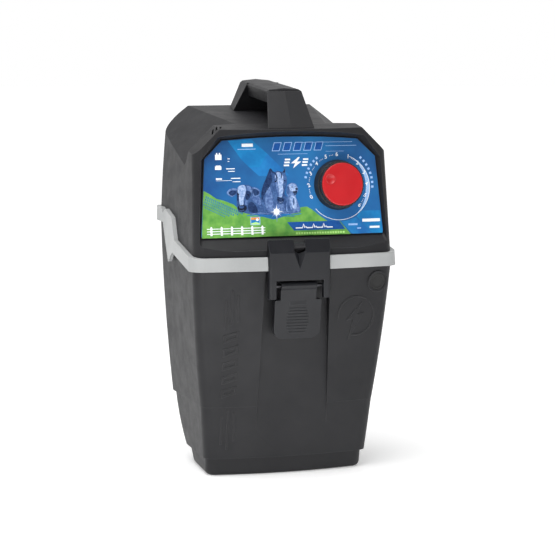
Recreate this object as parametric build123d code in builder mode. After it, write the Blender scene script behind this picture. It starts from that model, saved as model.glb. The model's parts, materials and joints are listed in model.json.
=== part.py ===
from build123d import *
import os
from math import cos, radians, sin, sqrt, tan

# Electric fence energizer: a tapered battery tub under a hinged electronics lid.
# Millimetres. +Z is up, the front faces -Y and +X is to the right of the front.
# The origin is on the ground, under the middle of the base.

# ---------------------------------------------------------------- driving dimensions
WALL = 3.0              # moulded wall of the tub and of the lid
GAP = 0.4               # clearance between faces that pass each other
FIT = 0.05              # radial clearance of a running fit
FRONT_CORNER = 12.0     # vertical corner radius at the front
BOW = 8.0               # how far the front wall bulges forward in plan

# Case levels: height, half width at the front, half width at the rear, front y, rear y,
# rear corner radius and front bow.
PLINTH_LEVELS = [
    (0.0, 93.0, 85.0, -50.5, 68.0, 52.0, BOW),
    (24.0, 94.0, 89.5, -54.0, 73.5, 46.0, BOW),
]
HULL_LEVELS = [
    (21.0, 97.2, 93.0, -57.6, 77.0, 46.0, BOW),
    (50.0, 99.9, 98.0, -61.6, 82.0, 36.0, BOW),
    (84.0, 102.85, 100.5, -66.15, 85.0, 28.0, BOW),
]
SHOULDER_LEVELS = [
    (82.0, 102.8, 103.8, -66.0, 88.0, 28.0, BOW),
    (240.0, 117.4, 113.0, -88.0, 92.0, 25.0, BOW),
    (304.0, 119.8, 114.8, -96.9, 92.5, 25.0, BOW),
]
LID_LEVELS = [
    (234.0, 117.6, 115.2, -90.5, 92.0, 25.0, BOW),
    (300.0, 115.9, 114.4, -82.5, 92.5, 25.0, 7.5),
    (434.0, 111.9, 102.8, -66.0, 91.0, 25.0, 5.0),
]

# Roof of the lid: y, height of its flat top, half width of that flat, fall of the side chamfer.
# A bezel hood frames the panel; behind it the roof starts narrow and spreads as it climbs.
HOOD_SECTIONS = [
    (-125.0, 388.6, 84.4, 0.98),
    (-48.0, 400.5, 84.4, 0.98),
    (-34.0, 400.5, 53.0, 0.75),
    (84.0, 416.0, 74.5, 0.75),
    (112.0, 419.7, 79.6, 0.75),
]

# Parting line between tub and lid, seen from the side (y, z), and the edge allowance on it.
PARTING = [(-140, 247.5), (-84, 247.5), (-5, 260.5), (40, 290), (140, 292.5)]
PARTING_GAP = 0.9
RIM_EDGE = 0.6          # from the tub's outer face to the gasket on its rim
RIM_WIDTH = 1.8

# Light trim band over the parting line, seen from the side (y, z).
BAND_LOWER = [(-140, 240), (-80, 240), (-2, 253.5), (15.5, 241), (42, 284.5), (84, 284.5)]
BAND_UPPER = [
    (84, 301), (52, 301), (43, 294.5), (33, 300.5), (3, 293), (-11.5, 268), (-88, 255), (-140, 255),
]
BAND_THICK = 5.0
BAND_CLEARANCE = 1.5    # between the band and the tub, which widens upwards, so that the lid lifts freely

# Channel down the middle of the tub's front: height, half width, y of its floor.
CHANNEL_LEVELS = [(21.0, 43.0, -66.0), (262.0, 37.5, -83.5)]

# Instrument panel on the front of the lid
LEAN = 7.0              # backward lean of the panel
PANEL_Y = -73.1         # y of the label face at the height of the knob
LABEL_THICK = 0.4
PANEL_THICK = 2.0
RECESS_DEPTH = 9.0      # tapered part of the recess, measured from the label
# Half width and height at the foot, at the side chamfer, at the top corner, and the crown height
LABEL_SHAPE = ((108.5, 276.0), (101.7, 364.0), (80.5, 384.5), 388.0)
RIM_SHAPE = ((113.2, 262.0), (108.8, 362.0), (87.5, 389.0), 393.5)

# Selector knob
KNOB_X = 55.0
KNOB_Z = 332.0
SKIRT_R = 28.6
COLLAR_R = 25.5         # fluted collar round the cap
FLUTES = 36
CAP_R = 24.2
CAP_TOP = 17.5
SHAFT_R = 3.0
POINTER_ANGLE = 157.0   # where the knob's dimple points, anticlockwise from +X
POINTER_REACH = 15.5
LED_X = -19.0
LED_Z = 304.0
LED_R = 2.5

# Draw latch: pivots are given as (y, z).
STRAP_HALF = 36.0
STRAP_FACE_Y = -104.5
STRAP_BACK_Y = -97.3
STRAP_FOOT_Z = 208.0
STRAP_WINDOW_Z = 228.5
STRAP_TOP_Z = 274.5
PRONG_INNER = 28.0
LEVER_HALF = 27.4
LEVER_LENGTH = 61.0
LATCH_PIN_R = 2.0
STRAP_PIVOT = (-99.2, 267.0)
LEVER_PIVOT = (-98.0, 222.0)
LUG_HALF = 6.2
LUG_R = 3.6
KEEPER_SCREW_X = (-9, 9)
KEEPER_SCREW_Z = 197.5
LEVER_NECK_HALF = 21.0
LEVER_HEAD_R = 4.7
LEVER_RIBS = 9

# Lid hinge at the rear
HINGE_Y = 101.0
HINGE_Z = 291.0
HINGE_PIN_R = 2.5
KNUCKLE_R = 6.0
HINGE_X = 62.0
HINGE_SIDES = (-HINGE_X, HINGE_X)
KNUCKLE_LENGTH = 18.0   # lid knuckle; the tub has a shorter one at each end of it
TUB_KNUCKLE = 10.0
HINGE_REACH = KNUCKLE_LENGTH / 2 + TUB_KNUCKLE + GAP    # from a hinge's middle to the end of its knuckles

# Output terminals on the rear of the lid
TERMINAL_X = 38.0
TERMINAL_Z = 350.0
TERMINAL_PAD_Y = 93.5
STUD_R = 3.0
STUD_LENGTH = 24.0
BUSH_R = 6.0
CLAMP_KNOB_R = 12.0

# Blanked cable entry at the top right of the tub's front
GROMMET_RING_R = 12.6
GROMMET_HOLE_R = 6.5

# Raised bars on the left of the tub's front: shift from the column's middle, lower and upper end
COLUMN_BARS = [(-7, 38, 72), (0, 32, 79), (7, 42, 76), (-7, 174, 206), (0, 178, 218), (7, 182, 212)]

# Carrying handle, a bridge from the front of the roof to its rear
GRIP_ENDS = [(-45.0, 439.5, 20.5), (66.0, 447.0, 18.8)]     # y, height of the shoulders' top, half width
GRIP_CROWN = 1.5        # rise of the grip's middle over its shoulders
GRIP_SHOULDER = 3.0
GRIP_DRAFT = 4.5        # how far the grip's sides lean in at the foot of its skirt
HANDLE_SKIRT = 16.0
HOLLOW_HALF = 11.5
RIB_COUNT = 6
HANDLE_SCREWS = [(-12, -54, 395.8), (12, -54, 395.8), (-12, 68, 410.2), (12, 68, 410.2)]
HANDLE_SCREW_LENGTH = 12.0
VENT_X = 80.0

# Inside
FLOOR = 4.0             # thickness of the tub's floor
TRAY_Z = 296.0          # underside of the electronics tray
TRAY_THICK = 3.0
BOARD_Z = 306.0
BOARD_THICK = 1.6
BATTERY = (151.0, 65.0, 94.0)
BATTERY_TOP = 12.0      # height of the battery's narrower top part
TRAY_POSTS = [(-93, -46), (93, -46), (-88, 60), (88, 60)]
BOARD_POSTS = [(-70, -36), (70, -36), (-70, 58), (70, 58)]

panel_plane = Plane(
    origin=(0, PANEL_Y, KNOB_Z),
    x_dir=(1, 0, 0),
    z_dir=(0, -cos(radians(LEAN)), sin(radians(LEAN))),
)
knob_plane = panel_plane.shift_origin(panel_plane.from_local_coords((KNOB_X, 0, 0)))
led_plane = panel_plane.shift_origin(
    panel_plane.from_local_coords((LED_X, (LED_Z - KNOB_Z) / cos(radians(LEAN)), 0))
)
grommet_plane = Plane(origin=(98.6, -86.3, 222.0), z_dir=(0.145, -1, -0.139))
lever_plane = Plane(
    origin=(0, *LEVER_PIVOT),
    x_dir=(1, 0, 0),
    z_dir=(0, -cos(radians(8)), -sin(radians(8))),
)


# ---------------------------------------------------------------- shared forms
def plan_outline(z, front_half, rear_half, front_y, rear_y, rear_radius, bow, grow=0.0):
    """Horizontal outline of the case: bowed front, tight front corners, wide rear corners."""
    corner = FRONT_CORNER + grow
    flat = front_half + grow - corner
    near = front_y - grow
    far = rear_y + grow
    rear = rear_half + grow
    with BuildSketch(Plane.XY.offset(z)) as outline:
        with BuildLine():
            ThreePointArc((-flat, near), (0, near - bow), (flat, near))
            CenterArc((flat, near + corner), corner, 270, 90)
            Line((flat + corner, near + corner), (rear, far))
            Line((rear, far), (-rear, far))
            Line((-rear, far), (-flat - corner, near + corner))
            CenterArc((-flat, near + corner), corner, 180, 90)
        make_face()
        fillet(outline.vertices().group_by(Axis.Y)[-1], rear_radius + grow)
    return outline.sketch


def case_form(levels, grow=0.0):
    """Solid through the outlines of a list of case levels."""
    with BuildPart() as form:
        loft([plan_outline(*level, grow=grow) for level in levels])
    return form.part


def hood_outline(y, top_z, top_half, fall, inset=0.0):
    """Upright outline with a flat top and chamfered shoulders, wider than the case below them."""
    slant = sqrt(1 + fall * fall)
    half = top_half - inset * (slant - 1) / fall
    top = top_z - inset
    reach = 150.0
    low = top - (reach - half) * fall
    with BuildSketch(Plane.XZ.offset(-y)) as outline:
        with BuildLine():
            Polyline((-reach, 180), (reach, 180), (reach, low), (half, top),
                     (-half, top), (-reach, low), close=True)
        make_face()
    return outline.sketch


def hood_form(inset=0.0):
    """Solid under the faceted roof of the lid."""
    with BuildPart() as form:
        loft([hood_outline(*section, inset=inset) for section in HOOD_SECTIONS], ruled=True)
    return form.part


def cross_prism(points, x_from=-160.0, x_to=160.0):
    """Side-view polygon (y, z) carried across the case."""
    with BuildPart() as prism:
        with BuildSketch(Plane.YZ.offset(x_from)):
            with BuildLine():
                Polyline(*points, close=True)
            make_face()
        extrude(amount=x_to - x_from)
    return prism.part


def cross_rod(centre, radius, x_from, x_to):
    """Round bar across the case, centred on (y, z)."""
    with BuildPart() as rod:
        with BuildSketch(Plane.YZ.offset(x_from)):
            with Locations(centre):
                Circle(radius)
        extrude(amount=x_to - x_from)
    return rod.part


def disc(plane, radius, low, high):
    """Round disc on a plane, between two heights over it."""
    with BuildPart() as form:
        with BuildSketch(plane.offset(low)):
            Circle(radius)
        extrude(amount=high - low)
    return form.part


def below_parting(shift):
    """Everything under the parting line moved up by shift."""
    line = [(y, z + shift) for y, z in PARTING]
    return cross_prism(line + [(140, -20), (-140, -20)])


def above_parting(shift):
    """Everything over the parting line moved up by shift."""
    line = [(y, z + shift) for y, z in PARTING]
    return cross_prism(line + [(140, 460), (-140, 460)])


def channel_form(grow=0.0):
    """Cutter of the channel down the tub's front; the channel dies out at the plinth."""
    reach = -130.0
    with BuildPart() as form:
        for z, half, floor_y in CHANNEL_LEVELS:
            with BuildSketch(Plane.XY.offset(z)):
                with Locations((1.0, (floor_y + grow + reach) / 2)):
                    Rectangle(2 * (half + grow), floor_y + grow - reach)
        loft()
    return form.part


def panel_outline(shape, reach, shrink=0.0):
    """Outline of the label or of the recess round it, on a plane that lies reach before the label."""
    foot, side, top, crown = shape

    def up(z):
        return (z - KNOB_Z - reach * sin(radians(LEAN))) / cos(radians(LEAN))

    with BuildSketch(panel_plane.offset(reach)) as outline:
        with BuildLine():
            Line((-foot[0], up(foot[1])), (foot[0], up(foot[1])))
            Polyline((foot[0], up(foot[1])), (side[0], up(side[1])), (top[0], up(top[1])))
            ThreePointArc((top[0], up(top[1])), (0, up(crown)), (-top[0], up(top[1])))
            Polyline((-top[0], up(top[1])), (-side[0], up(side[1])), (-foot[0], up(foot[1])))
        make_face()
        fillet(outline.vertices(), 3.0)
    if shrink:
        return offset(outline.sketch, amount=-shrink, mode=Mode.PRIVATE)
    return outline.sketch


# ---------------------------------------------------------------- tub
def emblem_form():
    """Raised marks on the tub's front: a bolt in an open ring on the right, bars and blocks on the left."""
    ring_x, ring_z, ring_r = 73.7, 183.0, 23.5
    column_x = -74.0
    with BuildPart() as marks:
        with BuildSketch(Plane.XZ.offset(50)):
            with Locations((ring_x, ring_z)):
                Circle(ring_r)
                Circle(ring_r - 1.8, mode=Mode.SUBTRACT)
                Polygon((0, 0), (-30, -4), (-30, -30), (-6, -30), align=None, mode=Mode.SUBTRACT)
                Polygon((6.5, 16), (-12, -5), (-3.5, -3.5), (-9, -29), (9.5, 3), (1.5, 1.8), align=None)
            for shift, low, high in COLUMN_BARS:
                with Locations((column_x + shift, (low + high) / 2)):
                    SlotOverall(high - low, 2.2, rotation=90)
            for block in range(5):
                with Locations((column_x, 100 + 16 * block)):
                    Polygon((-8.5, -7), (8.5, -2), (8.5, 7), (-8.5, 2), align=None)
                    Polygon((-6, -3.6), (6, -0.1), (6, 3.6), (-6, 0.1), align=None, mode=Mode.SUBTRACT)
        extrude(amount=70)
    with BuildPart() as skin:
        add(case_form(HULL_LEVELS, grow=0.8))
        add(case_form(SHOULDER_LEVELS, grow=0.8))
        add(marks.part, mode=Mode.INTERSECT)
    return skin.part


with BuildPart() as tub_outer:
    add(case_form(PLINTH_LEVELS))
    fillet(tub_outer.edges().group_by(Axis.Z)[0], 6.0)
    add(case_form(HULL_LEVELS))
    add(case_form(SHOULDER_LEVELS))
    add(channel_form(), mode=Mode.SUBTRACT)

with BuildPart() as plinth_inner:
    add(case_form(PLINTH_LEVELS, grow=-WALL))
    split(bisect_by=Plane.XY.offset(FLOOR), keep=Keep.TOP)

with BuildPart() as tub_inner:
    add(case_form(HULL_LEVELS, grow=-WALL))
    split(bisect_by=Plane.XY.offset(HULL_LEVELS[0][0] + WALL), keep=Keep.TOP)
    add(case_form(SHOULDER_LEVELS, grow=-WALL))
    add(channel_form(grow=WALL), mode=Mode.SUBTRACT)
    add(plinth_inner.part)

with BuildPart() as tub:
    add(tub_outer.part)
    add(emblem_form())
    add(disc(grommet_plane, GROMMET_RING_R, -6.0, 1.6))
    add(tub_inner.part, mode=Mode.SUBTRACT)
    add(disc(grommet_plane, GROMMET_RING_R - 2.2, 0, 5), mode=Mode.SUBTRACT)
    add(disc(grommet_plane, GROMMET_HOLE_R, -20, 5), mode=Mode.SUBTRACT)
    add(below_parting(-PARTING_GAP), mode=Mode.INTERSECT)
tub.part.label = "tub"

# Rubber seal on the tub's rim
def rim_form(inset):
    """Solid of the tub's upper part with its channel, inside the outer face by an inset."""
    with BuildPart() as form:
        add(case_form(SHOULDER_LEVELS, grow=-inset))
        add(channel_form(grow=inset), mode=Mode.SUBTRACT)
    return form.part


with BuildPart() as gasket:
    add(rim_form(RIM_EDGE))
    add(rim_form(RIM_EDGE + RIM_WIDTH), mode=Mode.SUBTRACT)
    add(above_parting(-PARTING_GAP), mode=Mode.INTERSECT)
    add(below_parting(PARTING_GAP - GAP), mode=Mode.INTERSECT)
gasket.part.label = "gasket"

# Rubber plug in the spare cable entry
with BuildPart() as blank_plug:
    add(disc(grommet_plane, GROMMET_RING_R - 2.5, 0.05, 1.0))
    add(disc(grommet_plane, GROMMET_HOLE_R - 0.05, -6.0, 0.1))
    add(disc(grommet_plane, 7.5, 0.5, 2.0), mode=Mode.SUBTRACT)
blank_plug.part.label = "blank_plug"

# ---------------------------------------------------------------- battery
battery_plane = Plane.XY.offset(FLOOR)
with BuildPart() as battery_case:
    with BuildSketch(battery_plane):
        with Locations((0, -2)):
            RectangleRounded(BATTERY[0], BATTERY[1], 3)
    extrude(amount=BATTERY[2] - BATTERY_TOP)
    with BuildSketch(battery_plane.offset(BATTERY[2] - BATTERY_TOP)):
        with Locations((0, -2)):
            RectangleRounded(BATTERY[0] - 2, BATTERY[1] - 2, 3)
    extrude(amount=BATTERY_TOP)
    fillet(battery_case.edges().group_by(Axis.Z)[-1], 1.5)
battery_case.part.label = "battery_case"

with BuildPart() as battery_terminals:
    for x in (-64, 64):
        with BuildSketch(battery_plane.offset(BATTERY[2])):
            with Locations((x, -22)):
                Rectangle(11, 9)
        extrude(amount=2)
        with BuildSketch(battery_plane.offset(BATTERY[2] + 2)):
            with Locations((x, -22)):
                Rectangle(6.3, 0.8)
        extrude(amount=7)
battery_terminals.part.label = "battery_terminals"

# ---------------------------------------------------------------- hinge
def hinge_leaf(low, high, bore_r, web):
    """Knuckle between two x positions, with its web to the case wall and its bore."""
    with BuildPart() as leaf:
        add(cross_rod((HINGE_Y, HINGE_Z), KNUCKLE_R, low, high))
        add(cross_prism(web, low, high))
        add(cross_rod((HINGE_Y, HINGE_Z), bore_r, low - 1, high + 1), mode=Mode.SUBTRACT)
    return leaf.part


# Two pairs of knuckles stand on webs on the tub's rear wall.
with BuildPart() as hinge_brackets:
    for hinge_x in HINGE_SIDES:
        for low in (hinge_x - HINGE_REACH, hinge_x + HINGE_REACH - TUB_KNUCKLE):
            web = [(89, 262), (89, 288), (HINGE_Y, HINGE_Z), (106.4, 288.4)]
            add(hinge_leaf(low, low + TUB_KNUCKLE, HINGE_PIN_R + 0.02, web))
    add(tub_outer.part, mode=Mode.SUBTRACT)
hinge_brackets.part.label = "hinge_brackets"

with BuildPart() as hinge_pins:
    for hinge_x in HINGE_SIDES:
        low, high = hinge_x - HINGE_REACH, hinge_x + HINGE_REACH
        add(cross_rod((HINGE_Y, HINGE_Z), HINGE_PIN_R, low - 1.6, high + 1.6))
        for end in (low - 1.6, high + 0.1):
            add(cross_rod((HINGE_Y, HINGE_Z), HINGE_PIN_R + 1.3, end, end + 1.5))
hinge_pins.part.label = "hinge_pins"

# ---------------------------------------------------------------- lid
with BuildPart() as lid_outer:
    add(case_form(LID_LEVELS))
    add(hood_form(), mode=Mode.INTERSECT)
    add(above_parting(PARTING_GAP), mode=Mode.INTERSECT)


def behind_panel(distance):
    """Everything further back than a plane parallel to the panel."""
    front = [(PANEL_Y + distance + (z - KNOB_Z) * tan(radians(LEAN)), z) for z in (180, 480)]
    return cross_prism(front + [(200, 480), (200, 180)])


with BuildPart() as lid_inner:
    add(case_form(LID_LEVELS, grow=-WALL))
    add(hood_form(inset=WALL), mode=Mode.INTERSECT)
    add(behind_panel(LABEL_THICK + PANEL_THICK + WALL), mode=Mode.INTERSECT)
with BuildPart() as lid_mouth:
    add(case_form(LID_LEVELS, grow=-WALL))
    add(cross_prism([(-140, 200), (140, 200), (140, 258.5), (-140, 258.5)]), mode=Mode.INTERSECT)

with BuildPart() as recess:
    loft([
        panel_outline(LABEL_SHAPE, -LABEL_THICK - PANEL_THICK),
        panel_outline(RIM_SHAPE, RECESS_DEPTH),
    ])
    extrude(panel_outline(RIM_SHAPE, RECESS_DEPTH), 20, panel_plane.z_dir)

# ---------------------------------------------------------------- handle
def leg_section(z, half, front_y, rear_y, rear_half, prow=0.0):
    """Horizontal section of a handle leg, narrower behind; the front leg has a blunt prow."""
    with BuildSketch(Plane.XY.offset(z)) as outline:
        with BuildLine():
            Polyline((-half, front_y), (0, front_y - prow), (half, front_y),
                     (rear_half, rear_y), (-rear_half, rear_y), close=True)
        make_face()
    return outline.sketch


def grip_section(y, top, half):
    """Upright section of the grip: crowned top, bevelled shoulders and sides that lean in."""
    foot_half = half - GRIP_DRAFT
    with BuildSketch(Plane.XZ.offset(-y)) as outline:
        with BuildLine():
            Polyline((-half, top - 2), (-half + GRIP_SHOULDER, top), (0, top + GRIP_CROWN),
                     (half - GRIP_SHOULDER, top), (half, top - 2), (foot_half, top - HANDLE_SKIRT),
                     (-foot_half, top - HANDLE_SKIRT), close=True)
        make_face()
    return outline.sketch


front_y, front_z, front_half = GRIP_ENDS[0]
rear_y, rear_z, rear_half = GRIP_ENDS[1]
with BuildPart() as handle_hollow:
    add(cross_prism([(-36, 405), (-18, 438.5), (36, 442.0), (52, 405)], -HOLLOW_HALF, HOLLOW_HALF))
    for rib in range(RIB_COUNT):
        rib_y = -12 + rib * 42 / (RIB_COUNT - 1)
        add(
            cross_prism([(rib_y, 428), (rib_y, 450), (rib_y + 1.6, 450), (rib_y + 1.6, 428)]),
            mode=Mode.SUBTRACT,
        )

with BuildPart() as handle:
    loft([
        leg_section(392, 28.0, -75.5, -46, 20.0, 1.0),
        leg_section(front_z - 2, front_half, front_y - 0.5, -20, 12.0, 1.5),
    ], ruled=True)
    loft([
        leg_section(405, 34.0, 56, 86, 30.0),
        leg_section(rear_z - 2, rear_half, 36, rear_y, rear_half),
    ], ruled=True)
    loft([grip_section(*end) for end in GRIP_ENDS], ruled=True)
    add(handle_hollow.part, mode=Mode.SUBTRACT)
    add(lid_outer.part, mode=Mode.SUBTRACT)
    split(bisect_by=Plane.XY.offset(395.5), keep=Keep.TOP)
    for x, y, roof_z in HANDLE_SCREWS:
        add(disc(Plane(origin=(x, y, roof_z)), 2.0, 0, HANDLE_SCREW_LENGTH + 1), mode=Mode.SUBTRACT)
handle.part.label = "handle"

# ---------------------------------------------------------------- lid shell
# Shelf that closes the lid over the tub's channel
with BuildPart() as shelf:
    add(channel_form(grow=WALL))
    add(lid_outer.part, mode=Mode.INTERSECT)
    add(below_parting(PARTING_GAP + WALL), mode=Mode.INTERSECT)

# Bosses for the tray screws reach down from the roof; flat pads seat the heads of the handle screws.
with BuildPart() as bosses:
    for x, y in TRAY_POSTS:
        add(disc(Plane(origin=(x, y, TRAY_Z + TRAY_THICK)), 5.0, 0, 110))
    for x, y, roof_z in HANDLE_SCREWS:
        add(disc(Plane(origin=(x, y, roof_z)), 5.5, 0, 8))
    add(lid_outer.part, mode=Mode.INTERSECT)

with BuildPart() as lid_shell:
    add(lid_outer.part)
    add(lid_inner.part, mode=Mode.SUBTRACT)
    add(lid_mouth.part, mode=Mode.SUBTRACT)
    add(recess.part, mode=Mode.SUBTRACT)
    add(shelf.part)
    add(bosses.part)
    for x, y in TRAY_POSTS:
        add(disc(Plane(origin=(x, y, TRAY_Z)), 1.5, 0, 18), mode=Mode.SUBTRACT)
    # Holes behind the panel for the selector's bush and the pulse lamp
    add(disc(knob_plane, 5.5, -12, 0), mode=Mode.SUBTRACT)
    add(disc(led_plane, LED_R + 0.3, -12, 0), mode=Mode.SUBTRACT)
    # Vent slots in the left shoulder of the bezel
    for slot in range(3):
        with BuildSketch(Plane.XY.offset(385)):
            with Locations((-VENT_X - 4.5 * slot, -62)):
                SlotOverall(11, 2, rotation=70)
        extrude(amount=30, mode=Mode.SUBTRACT)
    # Flat pads and holes for the output terminals
    for x in (-TERMINAL_X, TERMINAL_X):
        rear_plane = Plane(origin=(x, 0, TERMINAL_Z), x_dir=(1, 0, 0), z_dir=(0, 1, 0))
        add(disc(rear_plane, 14.0, 86, TERMINAL_PAD_Y))
        add(disc(rear_plane, BUSH_R + 0.1, 80, 100), mode=Mode.SUBTRACT)
    # Holes for the handle screws
    for x, y, roof_z in HANDLE_SCREWS:
        add(disc(Plane(origin=(x, y, roof_z)), 2.3, -8, 6), mode=Mode.SUBTRACT)
lid_shell.part.label = "lid_shell"

# The lid's own hinge knuckles, one between each pair on the tub
with BuildPart() as hinge_arms:
    for hinge_x in HINGE_SIDES:
        low = hinge_x - KNUCKLE_LENGTH / 2
        web = [(89, 320), (89, 296), (HINGE_Y, HINGE_Z), (106.4, 293.6)]
        add(hinge_leaf(low, low + KNUCKLE_LENGTH, HINGE_PIN_R + FIT, web))
    add(lid_outer.part, mode=Mode.SUBTRACT)
hinge_arms.part.label = "hinge_arms"

# Lug on the lid's foot that carries the latch strap
with BuildPart() as latch_lug:
    pivot_y, pivot_z = STRAP_PIVOT
    add(cross_rod(STRAP_PIVOT, LUG_R, -LUG_HALF, LUG_HALF))
    add(cross_prism(
        [(pivot_y, pivot_z - LUG_R), (-89, 255.5), (-93.6, 262.4), (pivot_y + 1.5, pivot_z + 3)],
        -LUG_HALF, LUG_HALF,
    ))
    add(lid_outer.part, mode=Mode.SUBTRACT)
    add(cross_rod(STRAP_PIVOT, LATCH_PIN_R + FIT, -10, 10), mode=Mode.SUBTRACT)
latch_lug.part.label = "latch_lug"

# Light band round the foot of the lid; it stands clear of the tub below the parting line.
with BuildPart() as band_core:
    add(case_form(SHOULDER_LEVELS, grow=BAND_CLEARANCE))
    add(below_parting(PARTING_GAP), mode=Mode.INTERSECT)
    add(lid_outer.part)

with BuildPart() as trim_band:
    add(case_form(LID_LEVELS, grow=BAND_THICK))
    add(cross_prism(BAND_LOWER + BAND_UPPER), mode=Mode.INTERSECT)
    add(band_core.part, mode=Mode.SUBTRACT)
    with BuildSketch(Plane.XY.offset(230)):
        with Locations((0, -100)):
            Rectangle(2 * (STRAP_HALF + GAP), 40)
    extrude(amount=40, mode=Mode.SUBTRACT)
trim_band.part.label = "trim_band"

# ---------------------------------------------------------------- instrument panel
panel_foot = -LABEL_THICK - PANEL_THICK
with BuildPart() as front_panel:
    extrude(panel_outline(LABEL_SHAPE, panel_foot, shrink=0.3), PANEL_THICK, panel_plane.z_dir)
    add(disc(knob_plane, 5.5, -12, 2), mode=Mode.SUBTRACT)
    add(disc(led_plane, LED_R + 0.3, -12, 2), mode=Mode.SUBTRACT)
front_panel.part.label = "front_panel"

with BuildPart() as panel_label:
    extrude(panel_outline(LABEL_SHAPE, -LABEL_THICK, shrink=0.8), LABEL_THICK, panel_plane.z_dir)
    add(disc(knob_plane, 6.0, -12, 2), mode=Mode.SUBTRACT)
    add(disc(led_plane, LED_R + 0.3, -12, 2), mode=Mode.SUBTRACT)
panel_label.part.label = "panel_label"

with BuildPart() as pulse_lamp:
    with BuildSketch(led_plane.offset(-10)):
        Circle(LED_R)
    extrude(amount=11.2)
    fillet(pulse_lamp.faces().sort_by(Axis.Y)[0].edges(), 1.0)
    add(disc(led_plane, LED_R + 0.6, -11.5, -8.0))
pulse_lamp.part.label = "pulse_lamp"

# ---------------------------------------------------------------- selector knob
with BuildPart() as knob_skirt:
    with BuildSketch(knob_plane.offset(0.6)):
        Circle(SKIRT_R)
    extrude(amount=8.4, taper=14)
    with BuildSketch(knob_plane.offset(6)):
        Circle(COLLAR_R)
        with PolarLocations(COLLAR_R + 0.3, FLUTES):
            Circle(0.8, mode=Mode.SUBTRACT)
    extrude(amount=CAP_TOP - 7.2)
    add(disc(knob_plane, CAP_R + 0.05, 7.0, 20), mode=Mode.SUBTRACT)
    add(disc(knob_plane, 7.5, 0, 3.0), mode=Mode.SUBTRACT)
    add(disc(knob_plane, SHAFT_R + 0.02, -1, 12), mode=Mode.SUBTRACT)
knob_skirt.part.label = "knob_skirt"

with BuildPart() as knob_cap:
    with BuildSketch(knob_plane.offset(7.1)):
        Circle(CAP_R)
    extrude(amount=CAP_TOP - 7.1)
    fillet(knob_cap.faces().sort_by(Axis.Y)[0].edges(), 1.2)
    pointer = (POINTER_REACH * cos(radians(POINTER_ANGLE)), POINTER_REACH * sin(radians(POINTER_ANGLE)))
    with BuildSketch(knob_plane.offset(CAP_TOP - 0.2)):
        with Locations(pointer):
            Circle(5.6)
    extrude(amount=0.7)
    with Locations(knob_plane.from_local_coords((*pointer, CAP_TOP + 5.9))):
        Sphere(7.5, mode=Mode.SUBTRACT)
knob_cap.part.label = "knob_cap"

with BuildPart() as selector_shaft:
    add(disc(knob_plane, SHAFT_R, -17, 7.0))
selector_shaft.part.label = "selector_shaft"

with BuildPart() as selector_switch:
    with BuildSketch(knob_plane.offset(-22)):
        RectangleRounded(30, 30, 4)
    extrude(amount=16)
    add(disc(knob_plane, 5.0, -7, 0.2))
    add(disc(knob_plane, SHAFT_R + FIT, -17.5, 3), mode=Mode.SUBTRACT)
selector_switch.part.label = "selector_switch"

# ---------------------------------------------------------------- electronics
with BuildPart() as lid_tray:
    extrude(plan_outline(TRAY_Z, *LID_LEVELS[1][1:], grow=-WALL - GAP), amount=TRAY_THICK)
    add(behind_panel(LABEL_THICK + PANEL_THICK + WALL + GAP), mode=Mode.INTERSECT)
    for x, y in TRAY_POSTS:
        add(disc(Plane(origin=(x, y, 0)), 1.8, TRAY_Z - 1, BOARD_Z), mode=Mode.SUBTRACT)
lid_tray.part.label = "lid_tray"

with BuildPart() as board_posts:
    for x, y in BOARD_POSTS:
        add(disc(Plane(origin=(x, y, 0)), 4.0, TRAY_Z + TRAY_THICK, BOARD_Z))
        add(disc(Plane(origin=(x, y, 0)), 1.5, TRAY_Z, BOARD_Z + 1), mode=Mode.SUBTRACT)
board_posts.part.label = "board_posts"

with BuildPart() as circuit_board:
    with BuildSketch(Plane.XY.offset(BOARD_Z)):
        with Locations((0, 11)):
            RectangleRounded(154, 106, 3)
        with Locations(*BOARD_POSTS):
            Circle(1.8, mode=Mode.SUBTRACT)
    extrude(amount=BOARD_THICK)
circuit_board.part.label = "circuit_board"

board_top = BOARD_Z + BOARD_THICK
core_x, core_y = -32.0, 22.0
with BuildPart() as transformer_core:
    with BuildSketch(Plane.XZ.offset(-core_y - 11)):
        with Locations((core_x, board_top + 27)):
            Rectangle(64, 54)
        for side in (-1, 1):
            with Locations((core_x + side * 16, board_top + 27)):
                Rectangle(16, 34, mode=Mode.SUBTRACT)
    extrude(amount=22)
transformer_core.part.label = "transformer_core"

with BuildPart() as transformer_winding:
    with BuildSketch(Plane.XY.offset(board_top + 10.5)):
        with Locations((core_x, core_y)):
            RectangleRounded(46, 52, 8)
            Rectangle(17, 23, mode=Mode.SUBTRACT)
    extrude(amount=33)
transformer_winding.part.label = "transformer_winding"

with BuildPart() as storage_capacitor:
    capacitor_plane = Plane(origin=(42, 26, board_top))
    add(disc(capacitor_plane, 19.0, 0, 62))
    fillet(storage_capacitor.edges().group_by(Axis.Z)[-1], 1.5)
    add(disc(capacitor_plane, 16.5, 61, 63), mode=Mode.SUBTRACT)
storage_capacitor.part.label = "storage_capacitor"


def screw(head_z, x, y, shank_r, head_r, length, up=1):
    """Pan-head screw; its head's bearing face is at head_z and its shank points up or down."""
    plane = Plane(origin=(x, y, head_z), z_dir=(0, 0, up))
    with BuildPart() as form:
        add(disc(plane, shank_r, -0.5, length))
        add(disc(plane, head_r, -head_r * 0.6, 0))
        with BuildSketch(plane.offset(-head_r * 0.6)):
            Rectangle(head_r * 1.3, 0.7)
            Rectangle(0.7, head_r * 1.3)
        extrude(amount=head_r * 0.35, mode=Mode.SUBTRACT)
    return form.part


with BuildPart() as tray_screws:
    for x, y in TRAY_POSTS:
        add(screw(TRAY_Z, x, y, 1.48, 3.4, 16))
tray_screws.part.label = "tray_screws"

with BuildPart() as board_screws:
    for x, y in BOARD_POSTS:
        add(screw(board_top, x, y, 1.48, 2.9, 7, up=-1))
board_screws.part.label = "board_screws"

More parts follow.
